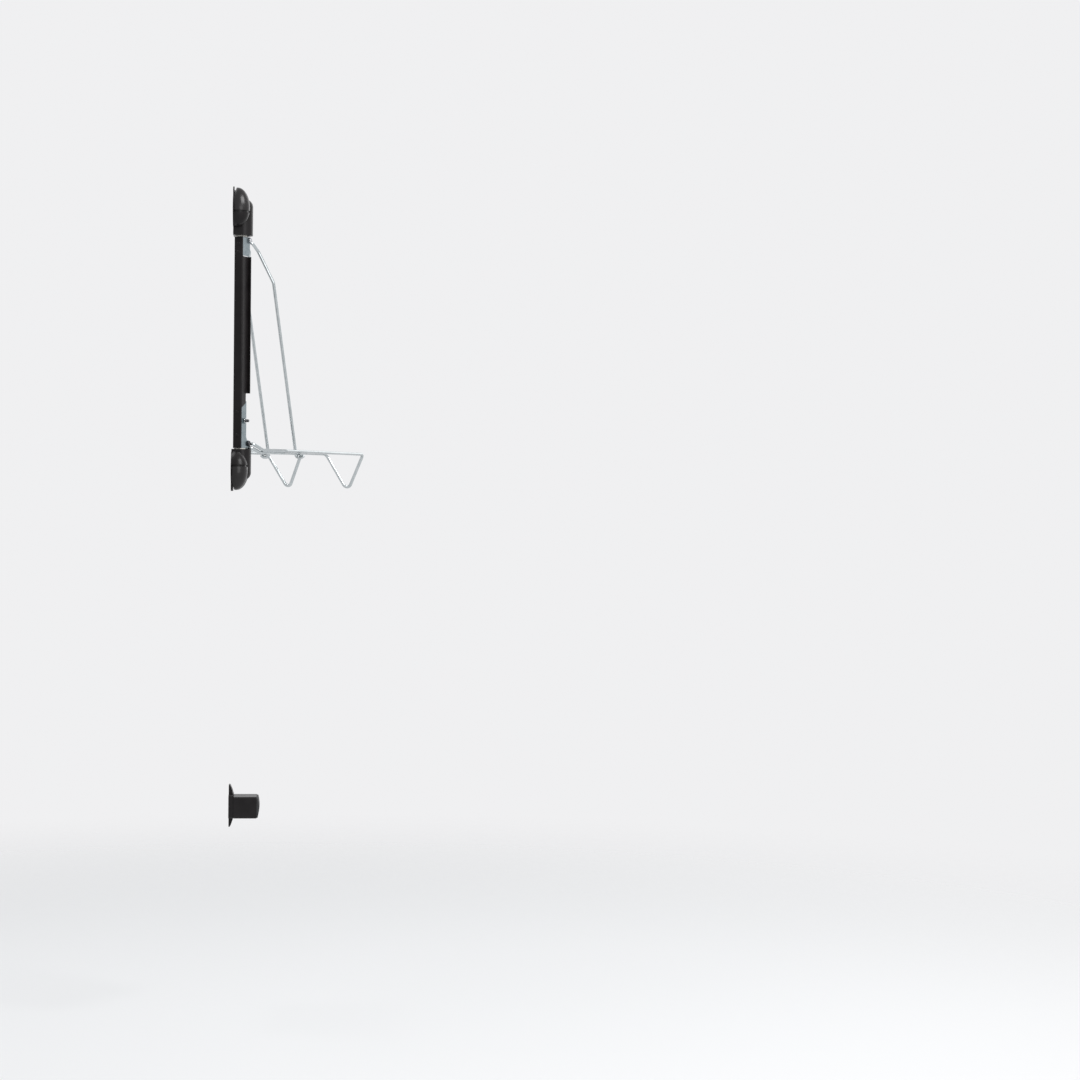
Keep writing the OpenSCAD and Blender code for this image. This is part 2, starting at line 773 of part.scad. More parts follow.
// The soft pad: its front is crowned from top to bottom, with a shallow upright groove for the tyre
module tail_rest_pad() {
    groove_r = 75;
    groove = 1.5;
    crown_r = 80;
    color(RUBBER) translate([0, -rest_block_out, block_z]) difference() {
        intersection() {
            rotate([90, 0, 0]) linear_extrude(rest_pad_t) block_outline(rest_w - 2, rest_block_h - 2, 5);
            translate([-rest_w, crown_r - rest_pad_t, 0]) rotate([0, 90, 0])
                cylinder(h = 2 * rest_w, r = crown_r, $fn = 360);
        }
        translate([0, -rest_pad_t - groove_r + groove, -rest_block_h])
            cylinder(h = 2 * rest_block_h, r = groove_r, $fn = 240);
    }
}

top_bracket();
top_screw_covers();
top_pivot_bush();
top_pivot_pin();
bottom_bracket();
bottom_screw_covers();
bottom_pivot_bush();
bottom_pivot_pin();
body_channel();
body_rivets();
upper_hinge_bracket();
upper_hinge_bolt();
upper_hinge_nut();
upper_hinge_washers();
upper_arm_barrel();
upper_arm_sleeve();
upper_arm_wire();
lower_hinge_bracket();
lower_hinge_bolt();
lower_hinge_nut();
lower_hinge_washers();
cross_bolt();
cross_bolt_nut();
cross_bolt_spacer();
lower_arm_barrel();
lower_arm_sleeve();
lower_arm_wire();
lower_cradle_wire();
tail_rest_plate();
tail_rest_block();
tail_rest_pad();
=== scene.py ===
"""The wall-mounted rack dressed for its picture. Lengths are in metres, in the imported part's frame.

The wall is the plane y = 0 and the rack stands out towards -y. A swinging piece is laid out with
its arms straight out of the wall, as (out, side, height) from the swivel axis, and at() turns it
to its place.
"""

import json
import math

import bmesh
import bpy
from mathutils import Matrix, Vector


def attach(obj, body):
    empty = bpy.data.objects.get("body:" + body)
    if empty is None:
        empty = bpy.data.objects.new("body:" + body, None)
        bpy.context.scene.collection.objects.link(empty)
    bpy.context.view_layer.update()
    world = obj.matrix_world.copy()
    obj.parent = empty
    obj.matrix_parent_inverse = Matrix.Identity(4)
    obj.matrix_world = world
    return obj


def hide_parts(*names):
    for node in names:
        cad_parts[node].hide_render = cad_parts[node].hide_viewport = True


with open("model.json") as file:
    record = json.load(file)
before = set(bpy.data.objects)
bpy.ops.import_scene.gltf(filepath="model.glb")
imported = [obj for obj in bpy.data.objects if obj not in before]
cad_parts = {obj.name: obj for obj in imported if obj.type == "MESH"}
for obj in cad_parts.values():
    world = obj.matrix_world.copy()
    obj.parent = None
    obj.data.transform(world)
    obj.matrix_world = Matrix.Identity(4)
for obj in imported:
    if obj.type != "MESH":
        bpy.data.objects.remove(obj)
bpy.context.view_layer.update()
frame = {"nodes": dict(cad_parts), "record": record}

MM = 0.001

# The swivel axis, and how far the arms are turned from straight out of the wall
AXIS_OUT = 16 * MM
TURNED = math.radians(64.3)

# Heights of the faces that the body turns between
LOW_FACE = 43 * MM
HIGH_FACE = 485 * MM

# The hinge bolts and the cross bolt: distance out from the swivel axis, and height
LOW_HINGE = (23 * MM, LOW_FACE + 12 * MM)
HIGH_HINGE = (21 * MM, HIGH_FACE - 8 * MM)
CROSS_BOLT = (2 * MM, LOW_FACE + 59 * MM)

# The hinge brackets: half of their outside width, and their sheet
NEST_HALF = 7.9 * MM
EAR_T = 2.5 * MM

# What turns or sits on the bolts
BOLT_R = 3 * MM
RUNNING_FIT = 0.05 * MM
SNUG_FIT = 0.02 * MM
BARREL_HALF = 4.4 * MM
BARREL_BORE_R = 5.05 * MM
LOW_BARREL_R = 8 * MM
HIGH_BARREL_R = 7.5 * MM
WASHER_T = 0.8 * MM
WASHER_R = 6.8 * MM
WASHER_PLAY = 0.15 * MM
SPACER_BORE_R = 3.1 * MM
SPACER_R = 4.5 * MM

# Hexagon heads, nuts and threads. A cone of the slope given cuts the hexagons' corners back.
HEX_FLATS = 10 * MM
HEX_FACE_R = 0.47 * HEX_FLATS
HEX_SLOPE = math.tan(math.radians(58))
HEX_FOOT = 0.25 * MM
HEAD_T = 4 * MM
NUT_T = 5 * MM
NUT_LEAD = 0.5 * MM
NUT_COLLAR = 1.5 * MM
NUT_COLLAR_R = HEX_FLATS / 2 - 0.75 * MM
# The collar's rounded edge: how far below its top, and how much less in radius
NUT_COLLAR_EDGE = ((0.4 * MM, 0), (0.1 * MM, 0.3 * MM), (0, 0.7 * MM))
THREAD_END = 2.5 * MM
THREAD_PITCH = 1.0 * MM
THREAD_DEPTH = 0.45 * MM
THREAD_TAPER = 0.8 * MM
THREAD_SPARE = 1 * MM
RINGS_A_TURN = 8
CROSS_BOLT_END = 12 * MM
CROSS_BOLT_THREAD = 15 * MM

# Rivets, from the tip of the dome behind the channel to the flatter dome in the hinge bracket
RIVET_HEIGHTS = (71.2 * MM, 119.2 * MM, 468.2 * MM, 450.2 * MM)
RIVET_TIP_OUT = -14.4 * MM
RIVET_LENGTH = 7.3 * MM
RIVET_R = 2.5 * MM
RIVET_DOME = 1.4 * MM
RIVET_BACK_R = 4.1 * MM
RIVET_FRONT_R = 3.9 * MM

# The wire: the gaps at welds, the rounding of its cut ends, and the turn between rings in a bend
WIRE_R = 3.5 * MM
WELD_GAP = 0.15 * MM
WIRE_END_GAP = 0.1 * MM
TIP_ROUND = 1.0 * MM
BEND_STEP = math.radians(5)

# The cradle wire lies inside and below the arm wire, at this angle from level
STACK_ANGLE = math.radians(38)
STACK_SIDE = (2 * WIRE_R + WELD_GAP) * math.cos(STACK_ANGLE)
STACK_DROP = (2 * WIRE_R + WELD_GAP) * math.sin(STACK_ANGLE)
CRADLE_HALF = 40.8 * MM
ARM_HALF = CRADLE_HALF + STACK_SIDE
SIDE_Z = LOW_FACE - 1 * MM
CRADLE_Z = SIDE_Z - STACK_DROP

# The lower arm: its cross piece at the barrel, its jog, its shoulder and its front loop
ARM_CROSS_HALF = 13 * MM
CRADLE_CROSS_HALF = 11 * MM
JOG_OUT, JOG_HALF, JOG_LEAD = 62 * MM, 24 * MM, 6 * MM
SHOULDER_OUT = 120 * MM
SPREAD = math.atan2(ARM_HALF - JOG_HALF, SHOULDER_OUT - JOG_OUT)
LOWER_BENDS = [0, 7 * MM, 14 * MM, 25 * MM]
ARM_REACH = 509 * MM
LOOP_LEAN, LOOP_DROP = 18 * MM, 85 * MM
LOOP_CORNER_R, LOOP_FOOT_R = 13 * MM, 10 * MM
CRADLE_OUT = 206 * MM
CRADLE_LEAN, CRADLE_DROP = 23 * MM, 78 * MM
CRADLE_CORNER_R, CRADLE_FOOT_R = 9 * MM, 8 * MM

# The upper arm: its cross piece, neck and elbow, and the hooks that lie clear under the cradle
UPPER_DIP = math.radians(15)
UPPER_CROSS_HALF = 8 * MM
NECK_OUT, NECK_HALF, NECK_DROP = 57 * MM, 10 * MM, 16 * MM
ELBOW_OUT, ELBOW_DROP = 84 * MM, 91 * MM
HOOK_GAP = 1 * MM
HOOK_BACK = 8 * MM
HOOK_PAST = 5 * MM
HOOK_TIP, HOOK_TIP_RISE = 6 * MM, 4 * MM
UPPER_BENDS = [6.5 * MM, 12 * MM, 20 * MM, 6 * MM, 5 * MM, 0]

# Weld beads on the barrels: degrees below straight out, distance from the bolt, and radius
LOWER_BEAD_HALF = 4.2 * MM
ARM_BEADS = ((-20, 9.3 * MM, 1.5 * MM), (22.5, 9.4 * MM, 1.7 * MM))
CRADLE_BEADS = ((65, 9.3 * MM, 1.5 * MM),)
UPPER_BEAD_HALF = 3.4 * MM
UPPER_BEADS = ((-6, 8.8 * MM, 1.4 * MM), (36, 8.8 * MM, 1.4 * MM))

# Short beads along the arm's sides: their ends, their radius and their height over the notch
STITCHES = ((128 * MM, 138 * MM), (156 * MM, 166 * MM), (182 * MM, 191 * MM))
STITCH_R = 1.5 * MM
STITCH_RISE = 2.3 * MM

# How lumpy a bead is, and how small its ends are
BEAD_STEP = 0.3 * MM
LUMP_LENGTH = 1.4 * MM
LUMP = 0.1
BEAD_TIP = 0.15

# How many sides the round and hexagonal forms have, and how many steps their cones and domes
WIRE_SIDES = 28
TURNED_SIDES = 56
ROD_SIDES = 40
HEX_SIDES = 72
BEAD_SIDES = 18
CONE_STEPS = 6
DOME_STEPS = 6

# Shading shows the edges sharper than this, in degrees
CREASE = 35
HEX_CREASE = 30
SOLID_CREASE = 40

# Width of the rounding on the edges of the solids that keep their form, in millimetres
EDGE_WIDTH = {
    "top_bracket": 0.8, "bottom_bracket": 0.8, "top_screw_covers": 0.5, "bottom_screw_covers": 0.5,
    "body_channel": 0.5, "upper_hinge_bracket": 0.45, "lower_hinge_bracket": 0.45,
    "tail_rest_plate": 1.2, "tail_rest_block": 1.8, "tail_rest_pad": 1.6,
    "top_pivot_bush": 0.3, "bottom_pivot_bush": 0.3, "top_pivot_pin": 0.5, "bottom_pivot_pin": 0.5,
}
# What counts there as one point, as a flat face and as an edge to round
SAME_POINT = 1e-6
FLAT_ANGLE = math.radians(0.6)
EDGE_ANGLE = math.radians(28)


def at(out, side, z):
    """A point of the swinging pieces, in the part's frame."""
    s, c = math.sin(TURNED), math.cos(TURNED)
    return Vector((out * s + side * c, -AXIS_OUT - out * c + side * s, z))


OUTWARDS = at(1, 0, 0) - at(0, 0, 0)
SIDEWAYS = at(0, 1, 0) - at(0, 0, 0)


# Materials

COAT_ROUGHNESS = 0.2
FINE_GRAIN = 0.1 * MM


def principled(material):
    return material.node_tree.nodes["Principled BSDF"]


def shader(name, base, metallic=0.0, roughness=0.5, coat=0.0, specular=0.5):
    """A material with its Principled shader, ready for bump and colour detail."""
    material = bpy.data.materials.new(name)
    material.use_nodes = True
    bsdf = principled(material)
    bsdf.inputs["Base Color"].default_value = (*base, 1)
    bsdf.inputs["Metallic"].default_value = metallic
    bsdf.inputs["Roughness"].default_value = roughness
    bsdf.inputs["Coat Weight"].default_value = coat
    bsdf.inputs["Coat Roughness"].default_value = COAT_ROUGHNESS
    bsdf.inputs["Specular IOR Level"].default_value = specular
    return material


def node(material, kind, **values):
    """A shader node. A value goes to the input of that name, or else to the node's setting."""
    made = material.node_tree.nodes.new(kind)
    for key, value in values.items():
        if key in made.inputs:
            made.inputs[key].default_value = value
        else:
            setattr(made, key, value)
    return made


def link(material, start, end):
    material.node_tree.links.new(start, end)


def noise(material, scale, detail=3.0, roughness=0.5):
    made = node(material, "ShaderNodeTexNoise", Scale=scale, Detail=detail, Roughness=roughness)
    where = node(material, "ShaderNodeTexCoord").outputs["Object"]
    link(material, where, made.inputs["Vector"])
    return made.outputs["Fac"]


def vary_colour(material, factor, low, high, start=0.3, end=0.7):
    """Colours a material between two colours, as a factor goes from start to end."""
    made = node(material, "ShaderNodeValToRGB")
    made.color_ramp.elements[0].position = start
    made.color_ramp.elements[0].color = (*low, 1)
    made.color_ramp.elements[1].position = end
    made.color_ramp.elements[1].color = (*high, 1)
    link(material, factor, made.inputs["Fac"])
    link(material, made.outputs["Color"], principled(material).inputs["Base Color"])


def vary_roughness(material, factor, low, high):
    made = node(material, "ShaderNodeMapRange")
    made.inputs["To Min"].default_value = low
    made.inputs["To Max"].default_value = high
    link(material, factor, made.inputs["Value"])
    link(material, made.outputs["Result"], principled(material).inputs["Roughness"])


def bump(material, height, strength, depth=FINE_GRAIN):
    made = node(material, "ShaderNodeBump", Strength=strength, Distance=depth)
    link(material, height, made.inputs["Height"])
    link(material, made.outputs["Normal"], principled(material).inputs["Normal"])


def zinc_plate(name, low, high, smooth, rough):
    """Bright zinc plating: a cool, slightly cloudy metal with fine drawn marks."""
    material = shader(name, high, metallic=1.0, roughness=smooth)
    vary_colour(material, noise(material, scale=90, detail=4, roughness=0.6), low, high)
    vary_roughness(material, noise(material, scale=240), smooth, rough)
    bump(material, noise(material, scale=700, detail=2), 0.05)
    return material


def steel(name, base, roughness):
    """Turned steel, a little dull in places."""
    material = shader(name, base, metallic=1.0, roughness=roughness)
    dim = tuple(0.8 * c for c in base)
    vary_colour(material, noise(material, scale=300), dim, base)
    wear = noise(material, scale=500, detail=2)
    vary_roughness(material, wear, roughness - 0.08, roughness + 0.1)
    bump(material, noise(material, scale=1200, detail=2), 0.1)
    return material


def moulded_black(name, roughness, grain, coat):
    """Black moulded nylon: a fine spark-eroded grain and faint grey handling marks."""
    material = shader(name, (0.011, 0.0095, 0.01), roughness=roughness, coat=coat, specular=0.15)
    marks = noise(material, scale=28, detail=5, roughness=0.6)
    vary_colour(material, marks, (0.0065, 0.0056, 0.0059), (0.0145, 0.0128, 0.0133), 0.35, 0.75)
    vary_roughness(material, marks, roughness - 0.06, roughness + 0.08)
    bump(material, noise(material, scale=2600, detail=2, roughness=0.6), grain)
    return material


def black_coat():
    """Satin black powder coat with its faint orange peel."""
    material = shader("black_powder_coat", (0.011, 0.0095, 0.01), roughness=0.4, specular=0.14)
    peel = noise(material, scale=420, detail=2, roughness=0.4)
    tone = noise(material, scale=35, detail=4, roughness=0.6)
    vary_colour(material, tone, (0.0065, 0.0054, 0.0057), (0.0145, 0.0125, 0.013), 0.3, 0.8)
    vary_roughness(material, tone, 0.3, 0.44)
    bump(material, peel, 0.2, depth=2 * FINE_GRAIN)
    return material


def white_moulding():
    """Off-white moulded nylon of the bushes, sleeves and washers."""
    material = shader("white_nylon", (0.74, 0.72, 0.66), roughness=0.5)
    vary_colour(material, noise(material, scale=120), (0.6, 0.58, 0.52), (0.74, 0.72, 0.66))
    bump(material, noise(material, scale=1500, detail=2), 0.15)
    return material


def rubber():
    """Matt black rubber with a worn, cloudy face."""
    material = shader("soft_rubber", (0.02, 0.02, 0.021), roughness=0.72)
    wear = noise(material, scale=60, detail=5, roughness=0.6)
    vary_colour(material, wear, (0.014, 0.014, 0.015), (0.035, 0.035, 0.036))
    vary_roughness(material, noise(material, scale=150), 0.6, 0.85)
    bump(material, noise(material, scale=3200, detail=3, roughness=0.7), 0.35)
    return material


FINISH = {
    "black_nylon": moulded_black("black_nylon", 0.32, 0.2, coat=0.08),
    "gloss_nylon": moulded_black("gloss_black_nylon", 0.34, 0.12, coat=0.4),
    "white_nylon": white_moulding(),
    "black_coat": black_coat(),
    "zinc": zinc_plate("zinc_plated_wire", (0.44, 0.475, 0.485), (0.56, 0.59, 0.6), 0.1, 0.18),
    "steel": steel("machined_steel", (0.5, 0.51, 0.53), 0.32),
    "dark_steel": steel("dark_steel", (0.07, 0.07, 0.075), 0.4),
    "rubber": rubber(),
}
# The hinge brackets get a darker copy of the wire's zinc plating: painted shade standing in for how
# dim the plates look inside the channel
SHADED_ZINC_SHEET = zinc_plate("zinc_sheet_painted_shade", (0.175, 0.218, 0.235), (0.25, 0.29, 0.308), 0.2, 0.32)
SLOT_OF = {part["node"]: part["material_slot"] for part in frame["record"]["subparts"]}
BODIES = frame["record"]["behaviour"]["bodies"]
BODY_OF = {name: body for body, names in BODIES.items() for name in names}


def dress(piece, node_name):
    slot = SLOT_OF[node_name]
    piece.data.materials.clear()
    # the hinge brackets take the zinc darkened with painted shade
    piece.data.materials.append(SHADED_ZINC_SHEET if node_name.endswith("hinge_bracket") else FINISH[slot])


# Mesh tools


def new_piece(name, mesh):
    piece = bpy.data.objects.new(name, mesh)
    bpy.context.scene.collection.objects.link(piece)
    return piece


def stand_in(piece, *nodes):
    """Gives a piece its node's finish and body, and hides the node."""
    first = nodes[0]
    dress(piece, first)
    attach(piece, BODY_OF[first])
    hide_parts(*nodes)


def shade(mesh, crease):
    """Smooth shading that keeps the edges sharper than an angle in degrees."""
    for polygon in mesh.polygons:
        polygon.use_smooth = True
    form = bmesh.new()
    form.from_mesh(mesh)
    for edge in form.edges:
        if len(edge.link_faces) == 2 and edge.calc_face_angle(0) > math.radians(crease):
            edge.smooth = False
    form.to_mesh(mesh)
    form.free()


def softened(name, width):
    """A copy of a node's solid with its edges rounded."""
    form = bmesh.new()
    form.from_mesh(frame["nodes"][name].data)
    bmesh.ops.remove_doubles(form, verts=form.verts, dist=SAME_POINT)
    bmesh.ops.dissolve_degenerate(form, dist=SAME_POINT, edges=form.edges)
    bmesh.ops.dissolve_limit(form, angle_limit=FLAT_ANGLE, verts=form.verts, edges=form.edges)
    for edge in form.edges:
        edge.smooth = True
    sharp = [edge for edge in form.edges
             if len(edge.link_faces) == 2 and edge.calc_face_angle(0) > EDGE_ANGLE]
    bmesh.ops.bevel(form, geom=sharp, offset=width, offset_type="OFFSET", segments=2, profile=0.5,
                    affect="EDGES", clamp_overlap=True, harden_normals=False)
    mesh = bpy.data.meshes.new(name + "_dressed")
    form.to_mesh(mesh)
    form.free()
    shade(mesh, SOLID_CREASE)
    piece = new_piece(name + "_dressed", mesh)
    weighted = piece.modifiers.new("even_normals", "WEIGHTED_NORMAL")
    weighted.keep_sharp = True
    weighted.weight = 80
    stand_in(piece, name)


def finished(name, form, crease=CREASE):
    bmesh.ops.recalc_face_normals(form, faces=form.faces)
    mesh = bpy.data.meshes.new(name)
    form.to_mesh(mesh)
    form.free()
    shade(mesh, crease)
    return new_piece(name, mesh)


def join_rings(form, rings, round_a_hole=False):
    """Joins rings of points into a closed skin, which ends in flat faces or goes round a hole."""
    sides = len(rings[0])
    following = rings[1:] + rings[:1] if round_a_hole else rings[1:]
    for low, high in zip(rings, following):
        for k in range(sides):
            form.faces.new((low[k], low[(k + 1) % sides], high[(k + 1) % sides], high[k]))
    if not round_a_hole:
        form.faces.new(rings[0][::-1])
        form.faces.new(rings[-1])


def arc_path(points, radii):
    """A path of straights with round bends, and the direction at each of its points."""
    places, along = [], []
    last = len(points) - 1
    for i, point in enumerate(points):
        if i in (0, last):
            places.append(point.copy())
            way = (points[1] - points[0]) if i == 0 else (points[last] - points[last - 1])
            along.append(way.normalized())
            continue
        way_in = (point - points[i - 1]).normalized()
        way_out = (points[i + 1] - point).normalized()
        angle = way_in.angle(way_out)
        inward = (way_out - way_out.dot(way_in) * way_in).normalized()
        start = point - radii[i] * math.tan(angle / 2) * way_in
        centre = start + radii[i] * inward
        count = max(3, math.ceil(angle / BEND_STEP))
        for k in range(count + 1):
            a = angle * k / count
            c, s = math.cos(a), math.sin(a)
            places.append(centre - radii[i] * c * inward + radii[i] * s * way_in)
            along.append((c * way_in + s * inward).normalized())
    return places, along


def sweep(form, places, along, radius, end_round):
    """A round bar along a path, cut square at its ends with the edge rounded by end_round."""
    steps = 4 if end_round else 0
    turns = [math.pi / 2 * k / steps for k in range(steps)]
    ends = [(end_round * (1 - math.cos(a)), radius - end_round * (1 - math.sin(a))) for a in turns]
    sections = [(places[0] + inset * along[0], along[0], r) for inset, r in ends]
    sections.append((places[0] + end_round * along[0], along[0], radius))
    sections += [(place, way, radius) for place, way in zip(places[1:-1], along[1:-1])]
    sections.append((places[-1] - end_round * along[-1], along[-1], radius))
    sections += [(places[-1] - inset * along[-1], along[-1], r) for inset, r in reversed(ends)]
    across = along[0].orthogonal().normalized()
    rings = []
    for place, way, r in sections:
        across = (across - across.dot(way) * way).normalized()
        rings.append(ring(form, place, across, way.cross(across), r, WIRE_SIDES))
    join_rings(form, rings)


# Turned parts and fasteners


def across_axis(way):
    """Two directions square to an axis, the first as near to upright as can be."""
    up = Vector((0, 0, 1)) if abs(way.z) < 0.9 else Vector((1, 0, 0))
    up = (up - up.dot(way) * way).normalized()
    return up, way.cross(up)


def ring(form, centre, up, right, radius, sides):
    """One ring of points. The radius is a number, or a function of the angle from upright."""
    points = []
    for k in range(sides):
        t = 2 * math.pi * k / sides
        r = radius(t) if callable(radius) else radius
        points.append(form.verts.new(centre + r * (math.cos(t) * up + math.sin(t) * right)))
    return points


def profile_rings(form, base, way, profile, sides):
    """A ring for each (distance along, radius) of a profile, round an axis."""
    up, right = across_axis(way)
    return [ring(form, base + along * way, up, right, radius, sides) for along, radius in profile]


def tubes(name, bolt_at, *parts):
    """One piece of tubes round a bolt, each a (start, length, inner radius, outer, chamfer)."""
    out, z = bolt_at
    form = bmesh.new()
    for start, length, inner, outer, edge in parts:
        profile = [(0, inner + edge), (0, outer - edge), (edge, outer), (length - edge, outer),
                   (length, outer - edge), (length, inner + edge), (length - edge, inner),
                   (edge, inner)]
        rings = profile_rings(form, at(out, start, z), SIDEWAYS, profile, TURNED_SIDES)
        join_rings(form, rings, round_a_hole=True)
    stand_in(finished(name + "_turned", form), name)


def hinge_hardware():
    """Barrels, sleeves and washers on the hinge bolts, and the spacer on the cross bolt."""
    length = 2 * BARREL_HALF
    bore = BOLT_R + RUNNING_FIT
    for level, hinge, barrel_r in (("lower", LOW_HINGE, LOW_BARREL_R),
                                   ("upper", HIGH_HINGE, HIGH_BARREL_R)):
        tubes(level + "_arm_barrel", hinge,
              (-BARREL_HALF, length, BARREL_BORE_R, barrel_r, 0.5 * MM))
        tubes(level + "_arm_sleeve", hinge,
              (-BARREL_HALF, length, bore, BARREL_BORE_R - SNUG_FIT, 0.2 * MM))
        tubes(level + "_hinge_washers", hinge,
              (-BARREL_HALF - WASHER_PLAY - WASHER_T, WASHER_T, bore, WASHER_R, 0.2 * MM),
              (BARREL_HALF + WASHER_PLAY, WASHER_T, bore, WASHER_R, 0.2 * MM))
    inside = NEST_HALF - EAR_T
    tubes("cross_bolt_spacer", CROSS_BOLT, (-inside, 2 * inside, SPACER_BORE_R, SPACER_R, 0.3 * MM))


def hexagon(t):
    """The radius of a hexagon with a corner upright, by angle."""
    return HEX_FLATS / 2 / math.cos((t + 1e-9) % (math.pi / 3) - math.pi / 6)


def hex_rings(form, base, way, height, both_ends):
    """The outside of a head, cut back at its outer face, or of a nut, cut back at both ends."""
    up, right = across_axis(way)
    corner = (HEX_FLATS / 2 / math.cos(math.pi / 6) - HEX_FACE_R) / HEX_SLOPE
    fall = [corner * k / CONE_STEPS for k in range(CONE_STEPS + 1)]
    foot = fall if both_ends else [0, HEX_FOOT, HEX_FOOT + 0.01 * MM]
    rings = []
    for s in foot + [height - d for d in reversed(fall)]:
        limit = HEX_FACE_R + (height - s) * HEX_SLOPE
        if both_ends:
            limit = min(limit, HEX_FACE_R + s * HEX_SLOPE)
        elif s <= HEX_FOOT:
            limit = HEX_FACE_R

        def cut_back(t, limit=limit):
            return min(hexagon(t), limit)

        rings.append(ring(form, base + s * way, up, right, cut_back, HEX_SIDES))
    return rings


def thread_rings(form, base, way, length):
    """Rings of a helical thread, cut back to a cone at its far end."""
    up, right = across_axis(way)
    count = math.ceil(length / THREAD_PITCH * RINGS_A_TURN)
    rings = []
    for k in range(count + 1):
        s = length * k / count
        limit = BOLT_R - max(0, s - (length - THREAD_TAPER))

        def groove(t, s=s, limit=limit):
            turn = (s / THREAD_PITCH - t / (2 * math.pi)) % 1
            return min(BOLT_R - THREAD_DEPTH * abs(2 * turn - 1), limit)

        rings.append(ring(form, base + s * way, up, right, groove, ROD_SIDES))
    return rings


def bolt(name, bolt_at, head_side, head_way, shank, thread):
    """A hexagon bolt: the head stands at head_side, and head_way is 1 or -1 for where it points."""
    out, z = bolt_at
    way = head_way * SIDEWAYS
    base = at(out, head_side, z)
    sunk = 0.2 * MM
    plain = [(0, BOLT_R), (shank - thread + sunk, BOLT_R)]
    form = bmesh.new()
    join_rings(form, hex_rings(form, base, way, HEAD_T, both_ends=False))
    join_rings(form, profile_rings(form, base + sunk * way, -way, plain, ROD_SIDES))
    join_rings(form, thread_rings(form, base - (shank - thread) * way, -way, thread))
    stand_in(finished(name + "_hex", form, HEX_CREASE), name)


def nut(name, bolt_at, side, nut_way, collar):
    """A hexagon nut from side outwards, with or without the round collar of a lock nut."""
    out, z = bolt_at
    way = nut_way * SIDEWAYS
    base = at(out, side, z)
    height = NUT_T - (NUT_COLLAR if collar else 0)
    bore = BOLT_R + SNUG_FIT
    profile = []
    if collar:
        profile.append((height, NUT_COLLAR_R))
        profile += [(NUT_T - down, NUT_COLLAR_R - less) for down, less in NUT_COLLAR_EDGE]
    profile += [(NUT_T, bore + NUT_LEAD), (NUT_T - NUT_LEAD, bore), (NUT_LEAD, bore),
                (0, bore + NUT_LEAD)]
    form = bmesh.new()
    rings = hex_rings(form, base, way, height, both_ends=True)
    rings += profile_rings(form, base, way, profile, HEX_SIDES)
    join_rings(form, rings, round_a_hole=True)
    stand_in(finished(name + "_hex", form, HEX_CREASE), name)


def fasteners():
    """The two hinge bolts with lock nuts, and the cross bolt with a plain nut."""
    thread = NUT_T + THREAD_END
    shank = 2 * NEST_HALF + thread
    for level, hinge in (("lower", LOW_HINGE), ("upper", HIGH_HINGE)):
        bolt(level + "_hinge_bolt", hinge, -NEST_HALF, -1, shank, thread + THREAD_SPARE)
        nut(level + "_hinge_nut", hinge, NEST_HALF, 1, collar=True)
    bolt("cross_bolt", CROSS_BOLT, NEST_HALF, 1, 2 * NEST_HALF + CROSS_BOLT_END, CROSS_BOLT_THREAD)
    nut("cross_bolt_nut", CROSS_BOLT, -NEST_HALF, -1, collar=False)


def dome(radius):
    """The profile of a rivet's dome, from its crown to its foot."""
    turns = [math.pi / 2 * k / DOME_STEPS for k in range(DOME_STEPS + 1)]
    rise = [(RIVET_DOME * (1 - math.cos(a)), max(0.05 * MM, radius * math.sin(a))) for a in turns]
    return rise + [(RIVET_DOME + 0.2 * MM, RIVET_R)]


def rivets():
    """Rivets with a dome on the channel's back and a flatter one inside the hinge brackets."""
    profile = dome(RIVET_BACK_R)
    profile += [(RIVET_LENGTH - a, r) for a, r in reversed(dome(RIVET_FRONT_R))]
    form = bmesh.new()
    for z in RIVET_HEIGHTS:
        base = at(RIVET_TIP_OUT, 0, z)
        join_rings(form, profile_rings(form, base, OUTWARDS, profile, ROD_SIDES))
    stand_in(finished("body_rivets_domed", form), "body_rivets")


# The arms


def weld(form, start, end, radius):
    """A lumpy weld bead between two points, drawn in at both ends."""
    length = (end - start).length
    way = (end - start) / length
    count = max(10, round(length / BEAD_STEP))
    profile = []
    for k in range(count + 1):
        s = k / count
        taper = max(BEAD_TIP, math.sqrt(1 - abs(2 * s - 1) ** 4))
        lump = 1 + LUMP * math.sin(2 * math.pi * s * length / LUMP_LENGTH)
        profile.append((s * length, radius * taper * lump))
    join_rings(form, profile_rings(form, start, way, profile, BEAD_SIDES))


def barrel_welds(form, hinge, half, beads):
    """Beads along a hinge barrel, as wide to either side as half."""
    for dip, reach, radius in beads:
        out = hinge[0] + reach * math.cos(math.radians(dip))
        z = hinge[1] - reach * math.sin(math.radians(dip))
        weld(form, at(out, -half, z), at(out, half, z), radius)


def stitch_welds(form):
    """Short beads in the upper notch between the arm wire and the cradle wire."""
    side = (ARM_HALF + CRADLE_HALF) / 2 - STITCH_RISE * math.sin(STACK_ANGLE)
    z = (SIDE_Z + CRADLE_Z) / 2 + STITCH_RISE * math.cos(STACK_ANGLE)
    for start, end in STITCHES:
        for hand in (-1, 1):
            weld(form, at(start, hand * side, z), at(end, hand * side, z), STITCH_R)


def wire(name, path, radii, end_round, welds):
    """A bent wire through the points of a path, with its weld beads."""
    form = bmesh.new()
    sweep(form, *arc_path([at(*p) for p in path], radii), WIRE_R, end_round)
    welds(form)
    stand_in(finished(name + "_bent", form), name)


def closed_wire(name, half, foot, radii, foot_r, welds):
    """A closed loop whose two ends meet in the middle of its cross piece."""
    path = half + [foot] + [(out, -side, z) for out, side, z in reversed(half)]
    wire(name, path, radii + [foot_r] + radii[::-1], 0.0, welds)


